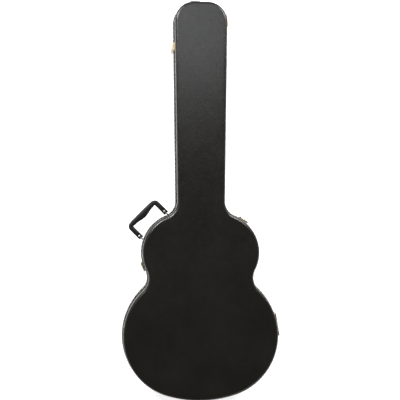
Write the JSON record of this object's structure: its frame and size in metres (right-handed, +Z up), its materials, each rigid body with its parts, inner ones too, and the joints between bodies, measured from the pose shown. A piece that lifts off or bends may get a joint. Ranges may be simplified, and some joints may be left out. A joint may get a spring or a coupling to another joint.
{
  "type": "guitar case",
  "caption": "Shaped hard-shell acoustic guitar case with a hinged lid, draw latches, a swinging carry handle, a plush-lined interior and an accessory compartment.",
  "frame": {"origin": "on the underside of the back panel, on the centre line, half way along the case, which lies on its back", "axes": "+Y from the tail towards the head end, +Z up through the lid, +X towards the hinge side"},
  "size_m": [0.446, 1.1288, 0.146],
  "materials": {
    "vinyl_covered_plywood": "black leather-grain vinyl glued over plywood, satin",
    "stitched_edging": "black vinyl edging with off-white stitches",
    "brown_edging": "dark brown vinyl edging",
    "plush_lining": "short plush pile",
    "plush_covered_board": "board covered with plush",
    "brass_hardware": "brass-plated, lightly worn",
    "nickel_hardware": "nickel-plated",
    "moulded_handle": "moulded soft-touch plastic",
    "rubber_foot": "matt rubber",
    "ribbon_tab": "woven ribbon"
  },
  "bodies": {
    "base": {"base_panel": "vinyl_covered_plywood", "base_side_wall": "vinyl_covered_plywood", "base_binding": "brown_edging", "base_lining": "plush_lining", "valance": "plush_lining", "neck_cradle": "plush_lining", "head_pad": "plush_lining", "waist_pad_left": "plush_lining", "waist_pad_right": "plush_lining", "tail_pad": "plush_lining", "accessory_box_front_wall": "plush_covered_board", "accessory_box_back_wall": "plush_covered_board", "accessory_box_hinge_rail": "plush_covered_board", "accessory_box_ledge": "plush_covered_board", "accessory_box_pin": "nickel_hardware", "hinge_tail_base_leaf": "brass_hardware", "hinge_tail_pin": "brass_hardware", "hinge_waist_base_leaf": "brass_hardware", "hinge_waist_pin": "brass_hardware", "hinge_head_base_leaf": "brass_hardware", "hinge_head_pin": "brass_hardware", "latch_neck_plate": "brass_hardware", "latch_head_plate": "brass_hardware", "latch_waist_plate": "brass_hardware", "latch_shoulder_plate": "brass_hardware", "handle_bracket_upper": "nickel_hardware", "handle_bracket_lower": "nickel_hardware", "spine_foot_tail": "rubber_foot", "spine_foot_waist": "rubber_foot", "spine_foot_head": "rubber_foot"},
    "lid": {"lid_panel": "vinyl_covered_plywood", "lid_side_wall": "vinyl_covered_plywood", "lid_binding": "stitched_edging", "lid_lining": "plush_lining", "lid_neck_pad": "plush_lining", "hinge_tail_lid_leaf": "brass_hardware", "hinge_waist_lid_leaf": "brass_hardware", "hinge_head_lid_leaf": "brass_hardware", "latch_neck_keeper": "brass_hardware", "latch_head_keeper": "brass_hardware", "latch_waist_keeper": "brass_hardware", "latch_shoulder_keeper": "brass_hardware"},
    "latch_neck_lever_body": {"latch_neck_lever": "brass_hardware"},
    "latch_neck_loop_body": {"latch_neck_loop": "nickel_hardware"},
    "latch_head_lever_body": {"latch_head_lever": "brass_hardware"},
    "latch_head_loop_body": {"latch_head_loop": "nickel_hardware"},
    "latch_waist_lever_body": {"latch_waist_lever": "brass_hardware"},
    "latch_waist_loop_body": {"latch_waist_loop": "nickel_hardware"},
    "latch_shoulder_lever_body": {"latch_shoulder_lever": "brass_hardware"},
    "latch_shoulder_loop_body": {"latch_shoulder_loop": "nickel_hardware"},
    "handle": {"carry_handle": "moulded_handle", "handle_pin_upper": "nickel_hardware", "handle_pin_lower": "nickel_hardware"},
    "accessory_lid": {"accessory_box_lid": "plush_covered_board", "accessory_box_tab": "ribbon_tab"}
  },
  "joints": [
    {"name": "lid_hinge", "type": "hinge", "parent": "base", "child": "lid", "pos_m": [0.18167, -0.12215, 0.104], "axis": [-0.1622, 0.9868, 0], "range_deg": [0, 100]},
    {"name": "latch_neck_lever_hinge", "type": "hinge", "parent": "base", "child": "latch_neck_lever_body", "pos_m": [-0.07902, 0.43392, 0.09], "axis": [-0.014, 0.9999, 0], "range_deg": [0, 150]},
    {"name": "latch_neck_loop_hinge", "type": "hinge", "parent": "latch_neck_lever_body", "child": "latch_neck_loop_body", "pos_m": [-0.07902, 0.43392, 0.081], "axis": [-0.014, 0.9999, 0], "range_deg": [-180, 0]},
    {"name": "latch_head_lever_hinge", "type": "hinge", "parent": "base", "child": "latch_head_lever_body", "pos_m": [-0.0155, 0.56357, 0.09], "axis": [1, 0, 0], "range_deg": [0, 150]},
    {"name": "latch_head_loop_hinge", "type": "hinge", "parent": "latch_head_lever_body", "child": "latch_head_loop_body", "pos_m": [-0.0155, 0.56357, 0.081], "axis": [1, 0, 0], "range_deg": [-180, 0]},
    {"name": "latch_waist_lever_hinge", "type": "hinge", "parent": "base", "child": "latch_waist_lever_body", "pos_m": [-0.1623, -0.18637, 0.09], "axis": [-0.3584, 0.9336, 0], "range_deg": [0, 150]},
    {"name": "latch_waist_loop_hinge", "type": "hinge", "parent": "latch_waist_lever_body", "child": "latch_waist_loop_body", "pos_m": [-0.1623, -0.18637, 0.081], "axis": [-0.3584, 0.9336, 0], "range_deg": [-180, 0]},
    {"name": "latch_shoulder_lever_hinge", "type": "hinge", "parent": "base", "child": "latch_shoulder_lever_body", "pos_m": [0.12368, -0.05388, 0.09], "axis": [0.8039, -0.5948, 0], "range_deg": [0, 150]},
    {"name": "latch_shoulder_loop_hinge", "type": "hinge", "parent": "latch_shoulder_lever_body", "child": "latch_shoulder_loop_body", "pos_m": [0.12368, -0.05388, 0.081], "axis": [0.8039, -0.5948, 0], "range_deg": [-180, 0]},
    {"name": "handle_swing", "type": "hinge", "parent": "base", "child": "handle", "pos_m": [-0.13436, -0.06703, 0.082], "axis": [-0.7071, -0.7071, 0], "range_deg": [-60, 65]},
    {"name": "accessory_lid_hinge", "type": "hinge", "parent": "base", "child": "accessory_lid", "pos_m": [0.048, 0.145, 0.061], "axis": [0, 1, 0], "range_deg": [0, 85]}
  ],
  "couplings": [
    {"joint": "latch_neck_loop_hinge", "follows": "latch_neck_lever_hinge", "ratio": -1.2},
    {"joint": "latch_head_loop_hinge", "follows": "latch_head_lever_hinge", "ratio": -1.2},
    {"joint": "latch_waist_loop_hinge", "follows": "latch_waist_lever_hinge", "ratio": -1.2},
    {"joint": "latch_shoulder_loop_hinge", "follows": "latch_shoulder_lever_hinge", "ratio": -1.2},
    {"joint": "accessory_lid_hinge", "follows": "lid_hinge", "ratio": 0.85}
  ]
}
